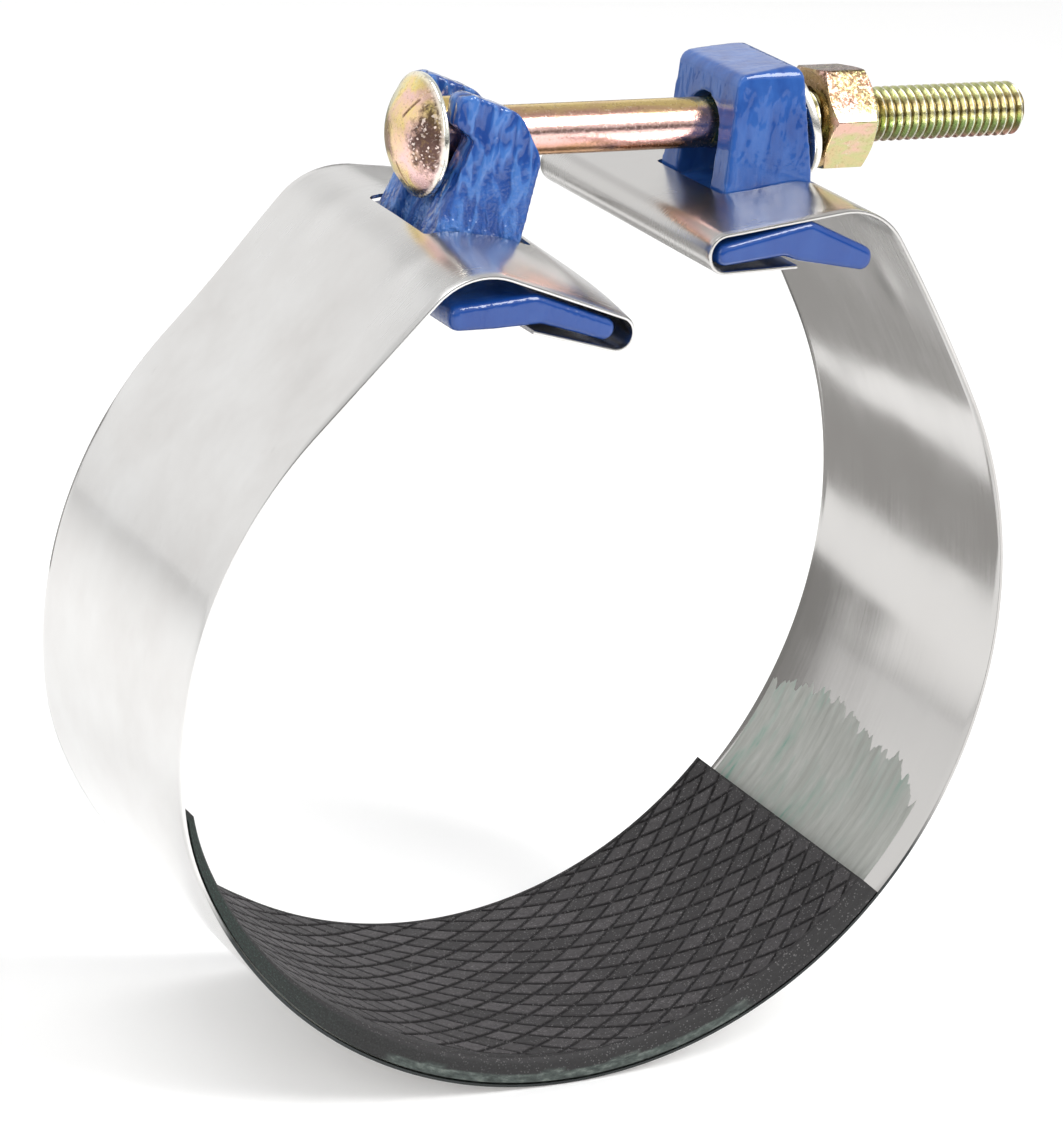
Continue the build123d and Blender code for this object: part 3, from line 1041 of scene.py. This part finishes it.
def side_prism(outline, half, soft=0.0):
    """An outline in X and Z carried across from -half to half in Y; soft rounds off its two ends."""
    steps = [(-half, 0.0), (half, 0.0)]
    if soft:
        turns = [math.pi / 2 * k / 5 for k in range(6)]
        ends = [(half - soft * (1 - math.cos(a)), soft * (1 - math.sin(a))) for a in turns]
        steps = [(-y, depth) for y, depth in ends] + [(y, depth) for y, depth in reversed(ends)]
    return prism([[(x, y, z) for x, z in drawn_in(outline, depth)] for y, depth in steps])


def end_prism(outline, low, high):
    """An outline in Y and Z carried along X."""
    return prism([[(x, y, z) for y, z in outline] for x in (low, high)])


def arch(radius, centre_z, opening):
    """A round-ended slot, open far above or below, as an outline in Y and Z."""
    turns = [math.pi * k / 24 for k in range(25)]
    way = 1 if opening > centre_z else -1
    points = [(radius * math.cos(a), centre_z - way * radius * math.sin(a)) for a in turns]
    return points + [(-radius, opening), (radius, opening)]


def ripple(obj):
    """Raises the enamel of the upright in slow runs, about a tenth of a millimetre high."""
    moved = []
    for vert in obj.data.vertices:
        place = Vector((vert.co.x / 1.9, vert.co.y / 1.9, vert.co.z / 4.4)) / MM
        upright = min(1.0, max(0.05, (26.0 - abs(vert.co.y) / MM) / 10.0))
        height = 0.10 if vert.co.x < 0 else 0.02
        moved.append(vert.co + vert.normal * (noise.noise(place) * height * upright * MM))
    for vert, spot in zip(obj.data.vertices, moved):
        vert.co = spot


def enamelled(upright, bar, node, body, material):
    """Runs an upright and its bar into one casting under a skin that softens every edge."""
    bm = bmesh.new()
    for part in (upright, bar):
        bm.from_mesh(part.data)
        bpy.data.objects.remove(part)
    bmesh.ops.recalc_face_normals(bm, faces=bm.faces)
    lug = new_object(node + "_casting", [], [])
    bm.to_mesh(lug.data)
    bm.free()
    remesh = lug.modifiers.new("skin", "REMESH")
    remesh.mode = "VOXEL"
    remesh.voxel_size = 0.42 * MM
    smooth = lug.modifiers.new("enamel", "SMOOTH")
    smooth.factor = 0.5
    smooth.iterations = 9
    apply_modifiers(lug)
    ripple(lug)
    lug.data.shade_smooth()
    finish_piece(lug, material, node, body)


def make_fork_lug(material):
    ears = side_prism(rounded(EAR), 15.0)
    carve(
        ears,
        [
            ("INTERSECT", end_prism(FORK_DRAFT, -60, 10)),
            ("DIFFERENCE", end_prism(arch(*FORK_SLOT, 140.0), -61, 11)),
            ("DIFFERENCE", side_prism(FORK_RECESS, FORK_SLOT[0])),
        ],
    )
    bar = side_prism(rounded(FORK_BAR), BAR_HALF, BAR_END_ROUND)
    enamelled(ears, bar, "fork_lug", "fork_side", material)


def make_block_lug(material):
    upright = side_prism(rounded(UPRIGHT), 16.0)
    carve(
        upright,
        [
            ("INTERSECT", end_prism(rounded(BLOCK_DRAFT), 10, 80)),
            ("DIFFERENCE", end_prism(arch(*BLOCK_TUNNEL, 60.0), 9, 81)),
        ],
    )
    bar = side_prism(rounded(BLOCK_BAR), BAR_HALF, BAR_END_ROUND)
    enamelled(upright, bar, "block_lug", "block_side", material)


# ---------- bolt ----------
ANGLES = np.arange(AROUND) * 2 * math.pi / AROUND


def ring_at(x, radii, angles=ANGLES):
    """A ring of points round the bolt's axis."""
    return np.stack([x + 0 * angles, radii * np.cos(angles), BOLT_Z + radii * np.sin(angles)], -1)


def grade_dash(radius):
    """Depth of three plain radial dashes, round the head's ring of one radius."""
    depth = 0.0 * ANGLES
    if DASH_SPAN[0] < radius < DASH_SPAN[1]:
        for turn in DASH_TURNS:
            gap = (ANGLES - math.radians(turn) + math.pi) % (2 * math.pi) - math.pi
            depth += np.where(abs(gap) < DASH_HALF, DASH_DEPTH, 0.0)
    return depth


def bolt_loops():
    """Rings of the domed head, the oval neck and the shank."""
    rim_left = HEAD_FACE - HEAD_RIM
    dome_r = (HEAD_DOME**2 + (HEAD_R - 0.4) ** 2) / (2 * HEAD_DOME)
    loops = []
    for radius in (0.15, 1.0, 2, 3, 4, 5, 5.4, 5.7, 6.5, 7.5, 8.5, 9.5, 10.3, 10.6, 11.2, 12, 12.6, 13.0):
        x = rim_left - HEAD_DOME + dome_r - math.sqrt(dome_r**2 - radius**2)
        loops.append(ring_at(x + grade_dash(radius), radius))
    long, short, reach = NECK
    oval = 1 / np.sqrt((np.cos(ANGLES) / short) ** 2 + (np.sin(ANGLES) / long) ** 2)
    neck_end = HEAD_FACE + reach
    profile = [
        (rim_left - 0.15, HEAD_R - 0.3),
        (rim_left + 0.15, HEAD_R - 0.06),
        (rim_left + 0.5, HEAD_R),
        (HEAD_FACE - 0.45, HEAD_R),
        (HEAD_FACE - 0.15, HEAD_R - 0.12),
        (HEAD_FACE, HEAD_R - 0.5),
        (HEAD_FACE + 0.01, oval + 0.5),
        (HEAD_FACE + 0.5, oval),
        (neck_end - 0.5, oval),
        (neck_end - 0.1, (oval + SHANK_R) / 2),
        (neck_end + 0.2, SHANK_R),
    ]
    profile += [(x, SHANK_R) for x in np.arange(neck_end + 3.0, THREAD_START - 1, 5.0)]
    profile.append((THREAD_START, SHANK_R))
    return loops + [ring_at(x, radii) for x, radii in profile]


def thread_loops():
    """Rings that follow the helix, each point moved on by its share of the pitch; rings to a turn."""
    shape = [
        (0.00, THREAD_R),
        (0.07, THREAD_R - 0.06),
        (0.36, THREAD_ROOT + 0.12),
        (0.44, THREAD_ROOT),
        (0.56, THREAD_ROOT),
        (0.64, THREAD_ROOT + 0.12),
        (0.93, THREAD_R - 0.06),
    ]
    first = THREAD_START + 0.2
    turns = int((BOLT_END - first) / THREAD_PITCH) + 2
    loops = []
    for turn in range(-1, turns + 1):
        for phase, radius in shape:
            x = first + (turn + phase + ANGLES / (2 * math.pi)) * THREAD_PITCH
            x = np.clip(x, first, BOLT_END)
            runout = np.clip((x - first) / 3.0, 0, 1)
            tip = THREAD_R - 1.35 + np.sqrt(np.clip(BOLT_END - x, 0, 1.35) * 1.35)
            loops.append(ring_at(x, np.minimum(SHANK_R + (radius - SHANK_R) * runout, tip)))
    return loops, len(shape)


def make_bolt(material):
    """Head, neck and shank, bridged to the thread, which is one skin wound round the helix."""
    helix, per_turn = thread_loops()
    shaft, faces = loft(bolt_loops(), closed_ends=False)
    faces.append(tuple(reversed(range(AROUND))))
    offset = len(shaft)
    for i in range(len(helix) - 1):
        for j in range(AROUND):
            k = (j + 1) % AROUND
            b = i + per_turn if k == 0 else i
            if b + 1 < len(helix):
                quad = (i * AROUND + j, b * AROUND + k, (b + 1) * AROUND + k, (i + 1) * AROUND + j)
                faces.append(tuple(offset + n for n in quad))
    bolt = new_object("bolt_body", np.vstack([shaft, *helix]), faces)
    bm = bmesh.new()
    bm.from_mesh(bolt.data)
    bmesh.ops.remove_doubles(bm, verts=bm.verts, dist=0.00002)
    tail = (BOLT_END - 0.5) * MM
    open_end = [e for e in bm.edges if e.is_boundary and min(v.co.x for v in e.verts) > tail]
    bmesh.ops.holes_fill(bm, edges=open_end)
    bmesh.ops.bridge_loops(bm, edges=[e for e in bm.edges if e.is_boundary])
    bm.to_mesh(bolt.data)
    bm.free()
    tidy_normals(bolt, 40)
    finish_piece(bolt, material, "bolt", "fork_side")


# ---------- washer and nut ----------
def make_washer(material):
    inner, outer = WASHER_R
    half = WASHER_THICK / 2
    section = [
        (inner + 0.2, -half),
        (outer - 0.5, -half),
        (outer - 0.15, -half + 0.12),
        (outer, -half + 0.45),
        (outer, half - 0.3),
        (outer - 0.12, half - 0.08),
        (outer - 0.3, half),
        (inner + 0.2, half),
        (inner, half - 0.2),
        (inner, -half + 0.2),
    ]
    tilt = Matrix.Rotation(-WASHER_TILT, 4, "Y")
    loops = []
    for k in range(AROUND):
        a = 2 * math.pi * k / AROUND
        ring = [tilt @ Vector((x, r * math.cos(a), r * math.sin(a))) for r, x in section]
        loops.append([tuple(v + Vector(WASHER_CENTRE)) for v in ring])
    loops.append(loops[0])
    washer = new_object("washer_ring", *loft(loops, closed_ends=False))
    tidy_normals(washer, 40)
    finish_piece(washer, material, "washer", "washer")


def hexagon(corner_round, per_corner=5, per_flat=9):
    """Points round the nut's hexagon, with slightly rounded corners."""
    centre = (NUT_FLATS / 2 - corner_round) / math.cos(math.radians(30))
    points = []
    for side in range(6):
        turn = NUT_TURN + math.radians(60 * side)
        for k in range(per_corner):
            a = turn + math.radians(-30 + 60 * k / (per_corner - 1))
            points.append(centre * direction(turn) + corner_round * direction(a))
        outward = corner_round * direction(turn + math.radians(30))
        start = centre * direction(turn) + outward
        end = centre * direction(turn + math.radians(60)) + outward
        points += [start + (end - start) * k / per_flat for k in range(1, per_flat)]
    return np.array(points)


def make_nut(material):
    outline = hexagon(0.7)
    radius = np.hypot(*outline.T)
    angles = np.arctan2(outline[:, 1], outline[:, 0])
    face_r = NUT_FLATS / 2 - 0.35
    cut = np.clip((radius - face_r) * math.tan(math.radians(30)), 0.12, None)
    # how far in from the nut's face, and radius
    profile = [
        (1.0, NUT_BORE_R),
        (0.0, NUT_BORE_R + 0.9),
        (0.0, face_r - 0.12),
        (0.05, face_r),
        (cut - 0.05, radius - 0.1),
        (cut + 0.12, radius),
    ]
    near = [ring_at(NUT_START + x, radii, angles) for x, radii in profile]
    far = [ring_at(NUT_START + NUT_LENGTH - x, radii, angles) for x, radii in reversed(profile)]
    nut = new_object("heavy_nut", *loft(near + far + near[:1], closed_ends=False))
    tidy_normals(nut, 24)
    finish_piece(nut, material, "nut", "nut")


# ---------- stage ----------
def make_stage():
    """A wide floor just below the object."""
    height = cad_box[0][2] / MM - 0.2
    reach = 6000.0
    size = 12
    places = np.linspace(-reach, reach, size)
    points = [(x, y, height) for x in places for y in places]
    _grid, quads = grid_quads(size, size)
    floor = new_object("floor", points, quads.tolist())
    floor.data.materials.append(floor_paper())


def make_light(name, place, target, size, power):
    """A white rectangular lamp at place that faces target, in metres and watts."""
    data = bpy.data.lights.new(name, "AREA")
    data.shape = "RECTANGLE"
    data.size, data.size_y = size
    data.energy = power
    lamp = bpy.data.objects.new(name, data)
    lamp.location = place
    lamp.rotation_euler = (Vector(target) - Vector(place)).to_track_quat("-Z", "Y").to_euler()
    bpy.context.scene.collection.objects.link(lamp)


def make_world():
    """A white studio: bright behind the object, darker behind the camera."""
    world = bpy.data.worlds.new("studio")
    world.use_nodes = True
    nodes = Nodes(world.node_tree)
    nodes.place = nodes.add("ShaderNodeTexCoord", {}).outputs["Generated"]
    height = nodes.spread(nodes.axis(2), -1.0, 1.0)
    front = [(0.0, 0.90), (0.50, 0.90), (0.56, 0.84), (0.62, 0.80), (0.80, 0.70), (1.0, 0.55)]
    back = [(0.0, 0.92), (0.50, 0.94), (0.58, 1.02), (0.72, 1.02), (0.80, 0.66), (1.0, 0.58)]
    tones = []
    for stops in (front, back):
        tones.append(nodes.ramp(height, *[(place, grey, grey, grey) for place, grey in stops]))
    colour = nodes.mixed(nodes.spread(nodes.axis(1), -0.25, 0.15), *tones)
    background = nodes.tree.nodes["Background"]
    background.inputs["Strength"].default_value = 1.0
    nodes.tree.links.new(colour, background.inputs["Color"])
    bpy.context.scene.world = world


def make_card(name, corners, grey):
    """A studio card that only shows in reflections; corners in millimetres."""
    card = new_object(name, corners, [(0, 1, 2, 3)])
    look = Look(
        name,
        Roughness=1.0,
        Base_Color=(0.0, 0.0, 0.0, 1.0),
        Specular_IOR_Level=0.0,
        Emission_Color=(grey, grey * 0.985, grey * 0.96, 1.0),
        Emission_Strength=1.0,
    )
    card.data.materials.append(look.material)
    card.visible_camera = False
    card.visible_diffuse = False
    card.visible_shadow = False


def shade_card_on_floor(name, outline, height, grey):
    """A level card, from its outline in X and Y: painted shade on the floor behind the ring, seen only in
    reflections.
    """
    make_card(name, [(x, y, height) for x, y in outline], grey)


def standing_card(name, x_span, y, z_span, grey):
    """An upright card that faces along Y."""
    (left, right), (foot, top) = x_span, z_span
    make_card(name, [(left, y, foot), (right, y, foot), (right, y, top), (left, y, top)], grey)


def make_camera():
    """The eye stands left, in front and above, far away, tipped a little on its side."""
    place = (-0.4633, -0.8698, 0.3448)
    right = Vector((0.891, -0.4479, 0.0747)).normalized()
    back = Vector((-0.4466, -0.8346, 0.3225)).normalized()
    up = back.cross(right).normalized()
    right = up.cross(back)
    data = bpy.data.cameras.new("camera")
    data.sensor_fit = "VERTICAL"
    data.sensor_height = 36.0
    data.lens = 149.0
    data.clip_end = 50.0
    camera = bpy.data.objects.new("camera", data)
    turn = Matrix((right, up, back)).transposed().to_4x4()
    camera.matrix_world = Matrix.Translation(place) @ turn
    bpy.context.scene.collection.objects.link(camera)
    bpy.context.scene.camera = camera


bpy.context.scene.view_settings.view_transform = "Standard"
make_camera()
make_world()
make_stage()
make_light("overhead", (-0.5, 0.2, 1.6), (0, 0, 0.05), (1.0, 1.0), 8)
make_light("key", (0.62, -0.86, 1.0), (0, 0, 0.1), (0.45, 0.75), 13)
make_light("front_left", (-1.5, -1.0, 0.9), (0, 0, 0), (0.5, 1.2), 6)

# painted shade: dark cards on the floor behind the ring, seen only in reflections
shade_card_on_floor("painted_shade_dark", [(-45, 120), (27, 120), (48, 340), (-45, 340)], -98, 0.44)
shade_card_on_floor("painted_shade_grey", [(78, 120), (93, 120), (93, 340), (34, 340)], -97, 0.44)
shade_card_on_floor("painted_shade_deep", [(93, 120), (160, 120), (160, 340), (93, 340)], -98, 0.20)
standing_card("card_tall", (-195, 100), 400, (-95, 60), 0.30)
standing_card("card_back", (300, 1600), 1250, (160, 400), 0.22)
standing_card("card_front", (-2600, 2600), -1300, (-95, 330), 0.10)
blue = enamel()
make_band(stainless())
make_pad(rubber())
make_adhesive(dried_adhesive())
make_fork_lug(blue)
make_block_lug(blue)
make_bolt(bolt_zinc())
make_washer(washer_plate())
make_nut(nut_zinc())
